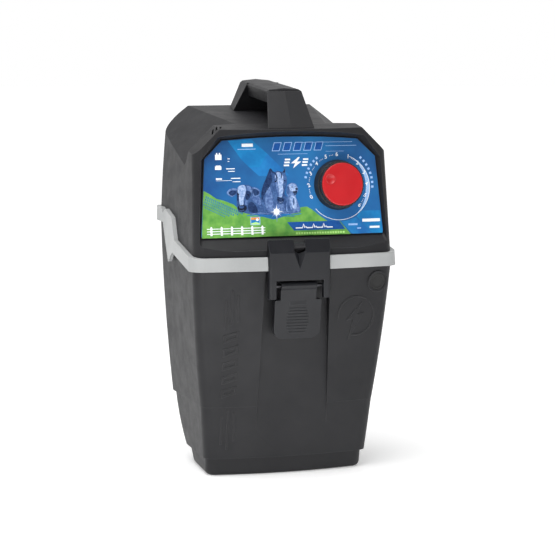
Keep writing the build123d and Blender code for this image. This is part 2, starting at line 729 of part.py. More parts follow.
with BuildPart() as handle_screws:
    for x, y, roof_z in HANDLE_SCREWS:
        add(screw(roof_z, x, y, 1.95, 4.2, HANDLE_SCREW_LENGTH))
handle_screws.part.label = "handle_screws"

# ---------------------------------------------------------------- output terminals
def terminal_plane(x):
    """Plane on a terminal's axis that faces the rear."""
    return Plane(origin=(x, TERMINAL_PAD_Y, TERMINAL_Z), x_dir=(1, 0, 0), z_dir=(0, 1, 0))


def make_bush(x):
    """Insulating bush with its nut inside the lid."""
    plane = terminal_plane(x)
    with BuildPart() as bush:
        add(disc(plane, 12.0, 0, 3.5))
        add(disc(plane, BUSH_R, -7.0, 0.1))
        add(disc(plane, STUD_R + 0.02, -10, 5), mode=Mode.SUBTRACT)
    return bush.part


def make_stud(x):
    """Threaded stud with a hexagonal head inside the lid."""
    plane = terminal_plane(x)
    with BuildPart() as stud:
        add(disc(plane, STUD_R, -9.0, STUD_LENGTH))
        with BuildSketch(plane.offset(-11.1)):
            RegularPolygon(6.0, 6)
        extrude(amount=4.0)
        chamfer(stud.faces().sort_by(Axis.Y)[-1].edges(), 0.7)
    return stud.part


def make_washer(x):
    """Clamp washer that grips the lead against the bush."""
    plane = terminal_plane(x)
    with BuildPart() as washer:
        add(disc(plane, 10.0, 3.6, 5.4))
        add(disc(plane, STUD_R + FIT, 3, 6), mode=Mode.SUBTRACT)
    return washer.part


def make_clamp_knob(x):
    """Fluted thumb nut on the stud."""
    plane = terminal_plane(x)
    with BuildPart() as knob:
        with BuildSketch(plane.offset(5.5)):
            Circle(CLAMP_KNOB_R)
            with PolarLocations(CLAMP_KNOB_R + 1.0, 12):
                Circle(2.2, mode=Mode.SUBTRACT)
        extrude(amount=15)
        add(disc(plane, 8.5, 20, 22))
        fillet(knob.faces().sort_by(Axis.Y)[-1].edges(), 0.8)
        add(disc(plane, STUD_R + FIT, 5, 30), mode=Mode.SUBTRACT)
    return knob.part


terminals = {}
for side, x in (("fence", -TERMINAL_X), ("earth", TERMINAL_X)):
    terminals[f"{side}_bush"] = make_bush(x)
    terminals[f"{side}_stud"] = make_stud(x)
    terminals[f"{side}_washer"] = make_washer(x)
    terminals[f"{side}_clamp_knob"] = make_clamp_knob(x)

# ---------------------------------------------------------------- draw latch
# Tapering groove down the middle of the strap; the lid's lug shows at its head.
with BuildPart() as groove:
    with BuildSketch(Plane.XY.offset(STRAP_TOP_Z + 1)) as groove_head:
        with BuildLine():
            Polyline((-14, -106), (14, -106), (0, -93), close=True)
        make_face()
    loft([groove_head.sketch, Vertex(0, STRAP_FACE_Y - 0.2, 240)])

with BuildPart() as latch_strap:
    add(cross_prism(
        [(STRAP_FACE_Y, STRAP_FOOT_Z), (STRAP_FACE_Y, 259.5), (-100.0, STRAP_TOP_Z),
         (-97.8, STRAP_TOP_Z), (-95.6, 270), (-95.6, 262.5), (STRAP_BACK_Y, 260.5),
         (STRAP_BACK_Y, STRAP_FOOT_Z)],
        -STRAP_HALF, STRAP_HALF,
    ))
    fillet(latch_strap.edges().filter_by(Axis.Z).group_by(Axis.Y)[0], 2.5)
    with BuildSketch(Plane.XZ.offset(90)):
        with Locations((0, (STRAP_FOOT_Z - 10 + STRAP_WINDOW_Z) / 2)):
            Rectangle(2 * PRONG_INNER, STRAP_WINDOW_Z - STRAP_FOOT_Z + 10)
    extrude(amount=30, mode=Mode.SUBTRACT)
    add(groove.part, mode=Mode.SUBTRACT)
    add(cross_prism(
        [(-103.4, 261.0), (-103.4, 280), (-90, 280), (-90, 250), (-98.2, 258)],
        -LUG_HALF - GAP, LUG_HALF + GAP,
    ), mode=Mode.SUBTRACT)
    add(cross_rod(STRAP_PIVOT, LATCH_PIN_R + 0.02, -STRAP_HALF + 4, STRAP_HALF - 4), mode=Mode.SUBTRACT)
    add(cross_rod(LEVER_PIVOT, LATCH_PIN_R + 0.02, -STRAP_HALF + 3, STRAP_HALF - 3), mode=Mode.SUBTRACT)
latch_strap.part.label = "latch_strap"

with BuildPart() as strap_pin:
    add(cross_rod(STRAP_PIVOT, LATCH_PIN_R, -STRAP_HALF + 4.2, STRAP_HALF - 4.2))
strap_pin.part.label = "strap_pin"

with BuildPart() as lever_pin:
    add(cross_rod(LEVER_PIVOT, LATCH_PIN_R, -STRAP_HALF + 3.2, STRAP_HALF - 3.2))
lever_pin.part.label = "lever_pin"

# Thumb lever: a plate with a round head, held between the strap's prongs.
plate_top = 16.0
with BuildPart() as latch_lever:
    with BuildSketch(lever_plane.offset(-2.4)) as plate:
        with Locations((0, -(plate_top + LEVER_LENGTH) / 2)):
            Rectangle(2 * LEVER_HALF, LEVER_LENGTH - plate_top)
        fillet(plate.vertices().group_by(Axis.Y)[0], 10.0)
        fillet(plate.vertices().group_by(Axis.Y)[-1], 1.5)
        with Locations((0, -plate_top / 2)):
            Rectangle(2 * LEVER_NECK_HALF, plate_top + 2)
    extrude(amount=4.8)
    fillet(latch_lever.faces().sort_by(Axis.Y)[0].edges(), 0.8)
    add(cross_rod(LEVER_PIVOT, LEVER_HEAD_R, -LEVER_NECK_HALF, LEVER_NECK_HALF))
    # Finger ribs in a lens-shaped field
    for rib in range(LEVER_RIBS):
        place = 2 * rib / (LEVER_RIBS - 1) - 1
        with BuildSketch(lever_plane.offset(2.3)):
            with Locations((0, -40 - 14 * place)):
                SlotOverall(2 * (7 + 6 * sqrt(1 - 0.8 * place * place)), 1.5)
        extrude(amount=0.9)
    # Hook under the keeper
    hook_y, hook_z = LEVER_PIVOT[0], LEVER_PIVOT[1] - 17
    add(cross_prism(
        [(hook_y, hook_z + 2), (hook_y + 10.5, hook_z + 3.2), (hook_y + 10.5, hook_z), (hook_y, hook_z - 5)],
        -10, 10,
    ))
    add(cross_rod(LEVER_PIVOT, LATCH_PIN_R + FIT, -30, 30), mode=Mode.SUBTRACT)
latch_lever.part.label = "latch_lever"

# Keeper on the floor of the tub's channel; the lever's hook rests just under its lip.
keeper_foot_y = -79.9
with BuildPart() as latch_keeper:
    add(cross_prism(
        [(keeper_foot_y - 2.2, 192), (keeper_foot_y - 2.2, 210), (-86.8, 210.6), (-86.8, 213.4),
         (keeper_foot_y + 2, 214), (keeper_foot_y + 2, 192)],
        -14, 14,
    ))
    add(tub.part, mode=Mode.SUBTRACT)
    for x in KEEPER_SCREW_X:
        add(disc(Plane(origin=(x, -84, KEEPER_SCREW_Z), z_dir=(0, 1, 0)), 1.6, -2, 12), mode=Mode.SUBTRACT)
latch_keeper.part.label = "latch_keeper"

with BuildPart() as keeper_screws:
    for x in KEEPER_SCREW_X:
        screw_plane = Plane(origin=(x, -81.2, KEEPER_SCREW_Z), z_dir=(0, 1, 0))
        add(disc(screw_plane, 1.5, -1.5, 5.0))
        add(disc(screw_plane, 2.8, -3.0, -1.2))
keeper_screws.part.label = "keeper_screws"

# ---------------------------------------------------------------- export
PIECES = {
    "tub": tub, "gasket": gasket, "blank_plug": blank_plug,
    "hinge_brackets": hinge_brackets, "hinge_pins": hinge_pins, "hinge_arms": hinge_arms,
    "battery_case": battery_case, "battery_terminals": battery_terminals,
    "lid_shell": lid_shell, "trim_band": trim_band, "handle": handle, "handle_screws": handle_screws,
    "front_panel": front_panel, "panel_label": panel_label, "pulse_lamp": pulse_lamp,
    "knob_skirt": knob_skirt, "knob_cap": knob_cap,
    "selector_shaft": selector_shaft, "selector_switch": selector_switch,
    "lid_tray": lid_tray, "tray_screws": tray_screws,
    "board_posts": board_posts, "circuit_board": circuit_board, "board_screws": board_screws,
    "transformer_core": transformer_core, "transformer_winding": transformer_winding,
    "storage_capacitor": storage_capacitor,
    "latch_lug": latch_lug, "latch_strap": latch_strap, "strap_pin": strap_pin, "lever_pin": lever_pin,
    "latch_lever": latch_lever, "latch_keeper": latch_keeper, "keeper_screws": keeper_screws,
}
os.makedirs("parts", exist_ok=True)
for name, piece in PIECES.items():
    export_step(piece.part, f"parts/{name}.step")
for name, piece in terminals.items():
    piece.label = name
    export_step(piece, f"parts/{name}.step")
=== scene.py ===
"""A portable electric fence energizer on a pale studio floor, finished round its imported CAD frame."""
import json
import math

import bmesh
import bpy
from mathutils import Matrix, Vector


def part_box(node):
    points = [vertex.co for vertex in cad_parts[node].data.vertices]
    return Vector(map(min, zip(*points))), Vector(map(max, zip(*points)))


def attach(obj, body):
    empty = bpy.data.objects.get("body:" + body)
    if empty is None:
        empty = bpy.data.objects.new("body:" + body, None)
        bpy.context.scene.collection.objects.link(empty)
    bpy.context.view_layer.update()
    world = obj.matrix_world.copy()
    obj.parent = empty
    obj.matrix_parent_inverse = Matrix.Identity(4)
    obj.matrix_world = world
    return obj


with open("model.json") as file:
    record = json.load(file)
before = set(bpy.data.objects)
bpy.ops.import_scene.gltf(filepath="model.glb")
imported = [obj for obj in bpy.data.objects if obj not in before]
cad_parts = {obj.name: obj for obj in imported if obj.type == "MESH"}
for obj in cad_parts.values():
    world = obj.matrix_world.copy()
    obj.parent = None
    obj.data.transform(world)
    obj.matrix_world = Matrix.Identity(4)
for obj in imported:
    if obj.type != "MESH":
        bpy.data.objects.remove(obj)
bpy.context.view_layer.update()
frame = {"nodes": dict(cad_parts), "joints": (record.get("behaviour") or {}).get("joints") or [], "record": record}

MM = 0.001
scene = bpy.context.scene


# ---------------------------------------------------------------- camera
CAMERA_AT = Vector((-729.5, -2318.2, 517.7)) * MM
CAMERA_AIM = Vector((3.9, -8.0, 220.4)) * MM
SENSOR_WIDTH = 36.0
LENS = 136.22

camera = bpy.data.objects.new("camera", bpy.data.cameras.new("camera"))
camera.data.sensor_width = SENSOR_WIDTH
camera.data.lens = LENS
camera.location = CAMERA_AT
camera.rotation_euler = (CAMERA_AIM - CAMERA_AT).to_track_quat("-Z", "Y").to_euler()
scene.collection.objects.link(camera)
scene.camera = camera


# ---------------------------------------------------------------- node helpers
def put(tree, kind, inputs=None, **settings):
    """Adds a shader node; inputs holds constants or sockets to link."""
    made = tree.nodes.new(kind)
    for name, value in settings.items():
        setattr(made, name, value)
    for key, value in (inputs or {}).items():
        if isinstance(value, bpy.types.NodeSocket):
            tree.links.new(value, made.inputs[key])
        else:
            made.inputs[key].default_value = value
    return made


def feed(tree, shader, **sockets):
    """Links sockets to the shader's inputs; an underscore stands for a space."""
    for name, socket in sockets.items():
        tree.links.new(socket, shader.inputs[name.replace("_", " ")])


def rgba(colour):
    return (*colour, 1.0)


def mixed(tree, share, first, second):
    """Colour between first and second."""
    inputs = {0: share}
    for key, value in ((6, first), (7, second)):
        inputs[key] = value if isinstance(value, bpy.types.NodeSocket) else rgba(value)
    return put(tree, "ShaderNodeMix", inputs, data_type="RGBA").outputs[2]


def spread(tree, value, low, high, to_low=0.0, to_high=1.0):
    """Maps a value from low..high to to_low..to_high, clamped."""
    ends = {"Value": value, "From Min": low, "From Max": high, "To Min": to_low, "To Max": to_high}
    return put(tree, "ShaderNodeMapRange", ends).outputs[0]


def noise(tree, coords, scale, detail=2.0, roughness=0.5):
    settings = {"Vector": coords, "Scale": scale, "Detail": detail, "Roughness": roughness}
    return put(tree, "ShaderNodeTexNoise", settings).outputs["Fac"]


def raised(tree, shader, heights, strength, depth, normal=None):
    """Raises the surface by a height pattern; depth is in millimetres."""
    inputs = {"Strength": strength, "Distance": depth * MM, "Height": heights}
    if normal:
        inputs["Normal"] = normal
    feed(tree, shader, Normal=put(tree, "ShaderNodeBump", inputs).outputs[0])


def start(name, **constants):
    """New Principled material; returns it, its tree, its shader and the object coordinates."""
    material = bpy.data.materials.new(name)
    material.use_nodes = True
    tree = material.node_tree
    shader = tree.nodes["Principled BSDF"]
    for key, value in constants.items():
        shader.inputs[key.replace("_", " ")].default_value = value
    coords = put(tree, "ShaderNodeTexCoord").outputs["Object"]
    return material, tree, shader, coords


# ---------------------------------------------------------------- kinds of material
# Noise scales are in cells per metre.
GRAIN = 2300.0          # spark-eroded grain of the mouldings
FLECKS = 1035.0         # lighter flecks in the plastic
DRIFT = 14.0            # slow drift of tone over a whole moulding
SMUDGES = 60.0          # patches of uneven gloss


def moulded(name, dark, light, worn, roughness, relief=0.12, edge=0.9, **constants):
    """Moulded plastic: grain, slow drift of tone, soft edges with a painted highlight that also stands for slight
    wear.
    """
    material, tree, shader, coords = start(name, **constants)
    drift = noise(tree, coords, DRIFT, 3.0)
    flecks = noise(tree, coords, FLECKS, 1.0)
    tone = mixed(tree, spread(tree, drift, 0.35, 0.65), dark, light)
    tone = mixed(tree, spread(tree, flecks, 0.5, 0.8, 0.0, 0.35), tone, light)
    soft = put(tree, "ShaderNodeBevel", {"Radius": edge * MM}, samples=4).outputs[0]
    flat = put(tree, "ShaderNodeNewGeometry").outputs["Normal"]
    pair = {0: soft, 1: flat}
    likeness = put(tree, "ShaderNodeVectorMath", pair, operation="DOT_PRODUCT").outputs["Value"]
    # Edges mix towards the lighter edge tone: painted highlight of the rounded edges, partly also rubbed wear.
    edge_highlight_and_wear_share = spread(tree, likeness, 0.995, 0.86, 0.0, 0.7)
    smudges = noise(tree, coords, SMUDGES, 4.0, 0.6)
    gloss = spread(tree, smudges, 0.3, 0.7, roughness - 0.05, roughness + 0.07)
    feed(tree, shader, Base_Color=mixed(tree, edge_highlight_and_wear_share, tone, worn), Roughness=gloss)
    raised(tree, shader, noise(tree, coords, GRAIN, 2.0), relief, 0.3, soft)
    return material


def metal(name, base, tint, roughness, along):
    """Metal with fine drawn or turned lines, which follow the axis with the smallest scale in along."""
    material, tree, shader, coords = start(name, Metallic=1.0)
    drawn = put(tree, "ShaderNodeMapping", {"Vector": coords, "Scale": along}).outputs[0]
    lines = noise(tree, drawn, 900.0, 3.0)
    patches = noise(tree, coords, 150.0, 3.0)
    tone = mixed(tree, spread(tree, patches, 0.35, 0.7), base, tint)
    gloss = spread(tree, lines, 0.3, 0.7, roughness - 0.08, roughness + 0.12)
    feed(tree, shader, Base_Color=tone, Roughness=gloss)
    raised(tree, shader, lines, 0.2, 0.1)
    return material


def banded(name, first, second, scale, direction, roughness, distortion=0.0, **constants):
    """Layered or wound material: regular bands along one axis."""
    material, tree, shader, coords = start(name, **constants)
    settings = {"Vector": coords, "Scale": scale, "Distortion": distortion, "Detail": 1.0}
    wave = put(tree, "ShaderNodeTexWave", settings, wave_type="BANDS", bands_direction=direction)
    bands = wave.outputs["Fac"]
    tone = mixed(tree, spread(tree, bands, 0.2, 0.6), first, second)
    grime = spread(tree, noise(tree, coords, 120.0, 3.0), 0.4, 0.8, 0.0, 0.4)
    gloss = spread(tree, bands, 0.0, 1.0, roughness + 0.1, roughness)
    feed(tree, shader, Base_Color=mixed(tree, grime, tone, first), Roughness=gloss)
    raised(tree, shader, bands, 0.4, 0.2)
    return material


def ink(name, first, second, size=500.0):
    """Printed ink: a fine mottle between two tones under a thin clear film."""
    material, tree, shader, coords = start(name, Specular_IOR_Level=0.3)
    mottle = noise(tree, coords, size, 3.0, 0.6)
    grain = noise(tree, coords, 3000.0, 1.0)
    tone = mixed(tree, spread(tree, mottle, 0.35, 0.68), first, second)
    feed(tree, shader, Base_Color=tone, Roughness=spread(tree, grain, 0.2, 0.8, 0.29, 0.40))
    raised(tree, shader, grain, 0.04, 0.1)
    return material


# ---------------------------------------------------------------- special finishes
def label_film():
    """The label's own ground: deep blue, lighter in the middle, with clouds and a dot screen."""
    foot_tone, head_tone = (0.015, 0.10, 0.32), (0.013, 0.06, 0.19)
    middle_tone, cloud_tone, dot_tone = (0.026, 0.20, 0.50), (0.022, 0.23, 0.54), (0.006, 0.07, 0.32)
    material, tree, shader, coords = start("label_film", Specular_IOR_Level=0.3)
    place = put(tree, "ShaderNodeSeparateXYZ", {0: coords})
    rise = spread(tree, place.outputs["Z"], 0.285, 0.385)
    ground = mixed(tree, rise, foot_tone, head_tone)
    middle = put(tree, "ShaderNodeMath", {0: place.outputs["X"], 1: 0.02}, operation="SUBTRACT")
    middle = put(tree, "ShaderNodeMath", {0: middle.outputs[0]}, operation="ABSOLUTE").outputs[0]
    ground = mixed(tree, spread(tree, middle, 0.1, 0.0, 0.0, 0.55), ground, middle_tone)
    clouds = spread(tree, noise(tree, coords, 26.0, 4.0), 0.4, 0.7, 0.0, 0.4)
    ground = mixed(tree, clouds, ground, cloud_tone)
    cells = put(tree, "ShaderNodeTexVoronoi", {"Vector": coords, "Scale": 560.0, "Randomness": 0.0})
    screen = spread(tree, cells.outputs["Distance"], 0.30, 0.24)
    field = spread(tree, noise(tree, coords, 17.0, 1.0), 0.5, 0.62, 0.0, 0.3)
    dots = put(tree, "ShaderNodeMath", {0: screen, 1: field}, operation="MULTIPLY").outputs[0]
    grain = noise(tree, coords, 2500.0, 1.0)
    gloss = spread(tree, grain, 0.2, 0.8, 0.3, 0.42)
    feed(tree, shader, Base_Color=mixed(tree, dots, ground, dot_tone), Roughness=gloss)
    raised(tree, shader, grain, 0.05, 0.1)
    return material


def lamp_lens():
    """Clear lamp lens with a bright core."""
    optics = {"Roughness": 0.08, "IOR": 1.49, "Coat_Weight": 0.6, "Emission_Strength": 0.9}
    material, tree, shader, coords = start("lamp_lens", **optics)
    core = noise(tree, coords, 900.0, 1.0)
    tone = mixed(tree, spread(tree, core, 0.3, 0.7), (0.75, 0.86, 1.0), (0.95, 0.98, 1.0))
    feed(tree, shader, Base_Color=tone, Emission_Color=tone)
    return material


def circuit_board():
    """Green solder resist with lighter copper tracks under it."""
    material, tree, shader, coords = start("circuit_board", Roughness=0.3, Coat_Weight=0.4)
    black, white = rgba((0, 0, 0)), rgba((1, 1, 1))
    layout = {"Vector": coords, "Scale": 60.0, "Mortar Size": 0.06, "Brick Width": 0.9, "Row Height": 0.17}
    inks = {"Color1": black, "Color2": black, "Mortar": white}
    tracks = put(tree, "ShaderNodeTexBrick", {**layout, **inks}).outputs["Fac"]
    ground = mixed(tree, noise(tree, coords, 90.0, 3.0), (0.008, 0.06, 0.025), (0.014, 0.1, 0.04))
    feed(tree, shader, Base_Color=mixed(tree, tracks, ground, (0.03, 0.2, 0.08)))
    raised(tree, shader, tracks, 0.3, 0.05)
    return material


# ---------------------------------------------------------------- finish of every material slot
# Each moulding has a dark tone, a light tone and the tone of its edges: a painted highlight along the rounded
# edges, partly also slight wear.
MOULDINGS = {
    "case_plastic": dict(
        dark=(0.0125, 0.0125, 0.0145), light=(0.0175, 0.0175, 0.0195), worn=(0.06, 0.06, 0.063),
        roughness=0.50, relief=0.2, edge=1.1, Specular_IOR_Level=0.30,
    ),
    "band_plastic": dict(
        dark=(0.345, 0.355, 0.355), light=(0.41, 0.42, 0.42), worn=(0.58, 0.59, 0.59),
        roughness=0.42, relief=0.06, edge=0.8,
    ),
    "latch_plastic": dict(
        dark=(0.009, 0.0095, 0.012), light=(0.012, 0.0125, 0.0155), worn=(0.06, 0.063, 0.07),
        roughness=0.40, relief=0.07, edge=0.8, Specular_IOR_Level=0.34,
    ),
    "rubber_black": dict(
        dark=(0.010, 0.010, 0.010), light=(0.016, 0.016, 0.016), worn=(0.04, 0.04, 0.04),
        roughness=0.72,
    ),
    "battery_plastic": dict(
        dark=(0.024, 0.025, 0.028), light=(0.034, 0.035, 0.038), worn=(0.09, 0.09, 0.1),
        roughness=0.48,
    ),
    "panel_plastic": dict(
        dark=(0.02, 0.02, 0.022), light=(0.028, 0.028, 0.03), worn=(0.06, 0.06, 0.06),
        roughness=0.55,
    ),
    "knob_black": dict(
        dark=(0.009, 0.009, 0.010), light=(0.013, 0.013, 0.014), worn=(0.05, 0.05, 0.05),
        roughness=0.42, relief=0.06,
    ),
    "knob_red": dict(
        dark=(0.45, 0.004, 0.008), light=(0.52, 0.007, 0.012), worn=(0.72, 0.06, 0.06),
        roughness=0.38, relief=0.03, edge=0.8,
    ),
    "bush_white": dict(
        dark=(0.66, 0.66, 0.63), light=(0.74, 0.74, 0.71), worn=(0.8, 0.8, 0.78),
        roughness=0.35, relief=0.04,
    ),
    "clamp_red": dict(
        dark=(0.45, 0.01, 0.012), light=(0.55, 0.016, 0.018), worn=(0.75, 0.1, 0.1),
        roughness=0.36, relief=0.04,
    ),
    "clamp_green": dict(
        dark=(0.01, 0.2, 0.05), light=(0.014, 0.27, 0.07), worn=(0.1, 0.5, 0.2),
        roughness=0.36, relief=0.04,
    ),
}
METALS = {
    # The lever's pins are made dark where they sit shaded inside the lever's knuckles: painted shade.
    "pin_black": dict(
        base=(0.05, 0.05, 0.055), tint=(0.09, 0.09, 0.095), roughness=0.38,
        along=(0.15, 1.0, 1.0),
    ),
    "zinc_steel": dict(
        base=(0.56, 0.57, 0.58), tint=(0.66, 0.64, 0.56), roughness=0.34,
        along=(0.15, 1.0, 1.0),
    ),
    "stud_brass": dict(
        base=(0.72, 0.50, 0.20), tint=(0.60, 0.38, 0.14), roughness=0.30,
        along=(1.0, 3.0, 1.0),
    ),
    "battery_tab": dict(
        base=(0.60, 0.61, 0.62), tint=(0.50, 0.50, 0.50), roughness=0.40,
        along=(1.0, 0.2, 1.0),
    ),
}
WINDINGS = {
    "core_steel": dict(
        first=(0.05, 0.05, 0.055), second=(0.16, 0.16, 0.17), scale=420.0, direction="Y",
        roughness=0.42, Metallic=0.7,
    ),
    "winding_tape": dict(
        first=(0.50, 0.36, 0.05), second=(0.70, 0.55, 0.12), scale=75.0, direction="Z",
        roughness=0.32, distortion=0.6, Coat_Weight=0.3,
    ),
    "capacitor_sleeve": dict(
        first=(0.01, 0.035, 0.13), second=(0.014, 0.055, 0.2), scale=9.0, direction="X",
        roughness=0.26, Coat_Weight=0.5,
    ),
}
finishes = {name: moulded(name, **look) for name, look in MOULDINGS.items()}
finishes.update({name: metal(name, **look) for name, look in METALS.items()})
finishes.update({name: banded(name, **look) for name, look in WINDINGS.items()})
finishes["label_film"] = label_film()
finishes["lamp_lens"] = lamp_lens()
finishes["board_green"] = circuit_board()

for row in frame["record"]["subparts"]:
    mesh = frame["nodes"][row["node"]].data
    mesh.materials.clear()
    mesh.materials.append(finishes[row["material_slot"]])


# ---------------------------------------------------------------- inks
INKS = {
    "white": ink("ink_white", (0.84, 0.88, 0.92), (0.95, 0.97, 0.99)),
    "light": ink("ink_light", (0.30, 0.50, 0.86), (0.42, 0.62, 0.93)),
    "cyan": ink("ink_cyan", (0.010, 0.16, 0.42), (0.014, 0.26, 0.58), 45.0),
    "sky": ink("ink_sky", (0.014, 0.14, 0.42), (0.02, 0.23, 0.56), 45.0),
    "navy": ink("ink_navy", (0.008, 0.075, 0.30), (0.012, 0.10, 0.38)),
    "green": ink("ink_green", (0.09, 0.30, 0.055), (0.20, 0.46, 0.085), 75.0),
    "lime": ink("ink_lime", (0.42, 0.80, 0.20), (0.55, 0.90, 0.30)),
    "hatch": ink("ink_hatch", (0.012, 0.14, 0.38), (0.03, 0.22, 0.40)),
    "coat_pale": ink("ink_coat_pale", (0.16, 0.28, 0.56), (0.50, 0.62, 0.86), 420.0),
    "coat_light": ink("ink_coat_light", (0.045, 0.10, 0.28), (0.20, 0.32, 0.60), 330.0),
    "coat_mid": ink("ink_coat_mid", (0.022, 0.06, 0.19), (0.07, 0.15, 0.35), 300.0),
    "coat_dark": ink("ink_coat_dark", (0.006, 0.02, 0.075), (0.022, 0.055, 0.16), 360.0),
    "black": ink("ink_black", (0.003, 0.007, 0.022), (0.008, 0.016, 0.045)),
    "orange": ink("ink_orange", (0.70, 0.24, 0.03), (0.82, 0.38, 0.06)),
}


# ---------------------------------------------------------------- outlines of the label artwork
# Label coordinates are millimetres from the label's middle line (x) and from the knob's height (y).
knob_joint = next(joint for joint in frame["joints"] if joint["name"] == "selector_turn")
KNOB_X = knob_joint["pos_m"][0] / MM
RIGHT = Vector((1.0, 0.0, 0.0))
FACING = Vector(knob_joint["axis"]).normalized()
UP = FACING.cross(RIGHT)
LABEL_MIDDLE = Vector((0.0, knob_joint["pos_m"][1], knob_joint["pos_m"][2]))
INK_BASE = 0.01         # underside of the inks over the label face
INK_STEP = 0.035        # thickness of one layer of ink


def label_point(x, y, lift=0.0):
    return LABEL_MIDDLE + (RIGHT * x + UP * y + FACING * lift) * MM


def blob(points, steps=5):
    """Closed Catmull-Rom curve through the points."""
    count = len(points)
    loop = []
    for index in range(count):
        near = (Vector(points[(index + shift) % count]) for shift in (-1, 0, 1, 2))
        before, here, there, after = near
        slope = there - before
        bend = 2 * before - 5 * here + 4 * there - after
        twist = 3 * here - before - 3 * there + after
        for step in range(steps):
            t = step / steps
            loop.append(0.5 * (2 * here + slope * t + bend * t * t + twist * t * t * t))
    return loop


def rectangle(left, low, right, high):
    return [(left, low), (right, low), (right, high), (left, high)]


def oval(x, y, wide, tall, turn=0.0, sides=20):
    """Ellipse outline, turned by an angle in degrees."""
    lean = Matrix.Rotation(math.radians(turn), 2)
    angles = [2 * math.pi * index / sides for index in range(sides)]
    ring = [Vector((wide * math.cos(angle), tall * math.sin(angle))) for angle in angles]
    return [Vector((x, y)) + lean @ point for point in ring]


def on_circle(x, y, radius, angle):
    """Point on a circle, angle in degrees."""
    turn = math.radians(angle)
    return (x + radius * math.cos(turn), y + radius * math.sin(turn))


def arc_strip(x, y, radius, width, first, last, steps=40):
    """Outline of a thin band along an arc, angles in degrees."""
    angles = [first + (last - first) * index / steps for index in range(steps + 1)]
    outer = [on_circle(x, y, radius + width / 2, angle) for angle in angles]
    inner = [on_circle(x, y, radius - width / 2, angle) for angle in angles]
    return outer + inner[::-1]


def trace(points, width):
    """Outline of a line of even width through the points."""
    points = [Vector(point) for point in points]
    sides = ([], [])
    for index, point in enumerate(points):
        ahead = (points[min(index + 1, len(points) - 1)] - points[max(index - 1, 0)]).normalized()
        across = Vector((-ahead.y, ahead.x)) * width / 2
        sides[0].append(point + across)
        sides[1].append(point - across)
    return sides[0] + sides[1][::-1]


def place_print(name, mesh):
    """Puts a print on the label: it rides on the lid."""
    piece = bpy.data.objects.new(name, mesh)
    scene.collection.objects.link(piece)
    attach(piece, "lid")


def print_piece(name, layers):
    """One printed motif: closed slabs of ink on the label. A layer is (ink, height in layers, outline)."""
    made = bmesh.new()
    inks = list(dict.fromkeys(layer[0] for layer in layers))
    for colour, level, outline in layers:
        low, high = INK_BASE, INK_BASE + INK_STEP * level
        foot = [made.verts.new(label_point(x, y, low)) for x, y in outline]
        head = [made.verts.new(label_point(x, y, high)) for x, y in outline]
        faces = [made.faces.new(head), made.faces.new(foot[::-1])]
        for index in range(len(outline)):
            after = (index + 1) % len(outline)
            faces.append(made.faces.new((foot[index], foot[after], head[after], head[index])))
        for face in faces:
            face.material_index = inks.index(colour)
    bmesh.ops.recalc_face_normals(made, faces=made.faces)
    bmesh.ops.triangulate(made, faces=[face for face in made.faces if len(face.verts) > 4])
    mesh = bpy.data.meshes.new(name)
    made.to_mesh(mesh)
    made.free()
    for colour in inks:
        mesh.materials.append(INKS[colour])
    place_print(name, mesh)


# ---------------------------------------------------------------- motifs of the label artwork
def meadow():
    """Green ground along the foot of the label."""
    print_piece("print_meadow", [("green", 1, [
        (-103.2, -3), (-96, -7), (-89, -12), (-79, -15), (-69, -19), (-62, -25), (-52, -29.5), (-38, -33),
        (-23, -37), (-14, -35), (-7, -33), (0, -31), (6, -26), (11, -24), (17, -23.5), (23, -27),
        (33, -35), (42, -41), (56, -41), (68.5, -56), (-107, -56), (-105, -25),
    ])])


def sky_bands():
    """Slanted light bands behind the animals and in the lower right corner."""
    print_piece("print_band", [
        ("cyan", 1, [(-73, 52.2), (-46, 53.6), (-27.5, 37), (-37, 22), (-49, 22), (-58, 31)]),
        ("sky", 1, [(-27.5, 37), (-2, 12), (-38, 12), (-49, 22), (-37, 22)]),
    ])
    print_piece("print_corner", [
        ("cyan", 1, [(80, -30), (105, -30), (106.9, -55.8), (94.5, -55.8), (76.5, -36.5)]),
        ("sky", 1, [(75.5, -37), (93.5, -55.8), (70.5, -55.8), (57, -41.5), (66, -40.5)]),
    ])


def hatch():
    """Rows of slanted dashes along the meadow's slope, shorter towards its foot."""
    slope, pitch, row_pitch, row_shift, left_edge = -0.47, 2.15, 3.3, 0.9, -104.0
    dashes = []
    for row in range(5):
        tall = 2.3 - 0.3 * row
        for column in range(20 - 2 * row):
            x = -100.5 + pitch * column - row_shift * row
            y = -7.5 + slope * (x + 103) - row_pitch * row
            if x > left_edge:
                head = [(x, y), (x + 1.15, y - 0.5)]
                foot = [(x + 0.35, y - 0.5 - tall), (x - 0.8, y - tall)]
                dashes.append(("hatch", 2, head + foot))
    print_piece("print_hatch", dashes)


def herd():
    """Shared mass of the animals' bodies, fading into thin mist at the foot."""
    print_piece("print_herd", [
        # bodies
        ("coat_mid", 2, blob([
            (-60, -26), (-54, -16), (-46, -10), (-39, -9.6), (-36, -12), (-33, 0), (-28, 8),
            (-20, 4), (-11, -6), (-6, -12), (2, -14), (6, -18), (8.6, -25), (8, -30), (-10, -31),
            (-30, -31.6), (-50, -30.4)
        ])),
        # light and shade on the cow's back
        ("coat_light", 3, blob([
            (-50, -9.6), (-43, -11), (-38, -13), (-37, -20), (-41, -19), (-46, -15)
        ])),
        ("coat_dark", 3, blob([
            (-52, -20), (-48, -16.4), (-43, -21), (-41, -28), (-46, -29), (-51, -27)
        ])),
        # mist
        ("coat_light", 4, trace([
            (-50, -30.6), (-38, -29.4), (-26, -30.8), (-14, -29.6), (-2, -31), (8, -29.6)
        ], 0.8)),
        ("sky", 4, trace([
            (-54, -32), (-40, -31.2), (-28, -32.6), (-12, -31.6), (0, -32.8), (10, -31.4)
        ], 0.9)),
        ("hatch", 4, trace([
            (-48, -33.8), (-36, -33.2), (-24, -34.4), (-12, -33.4), (2, -34.4)
        ], 0.6)),
    ])


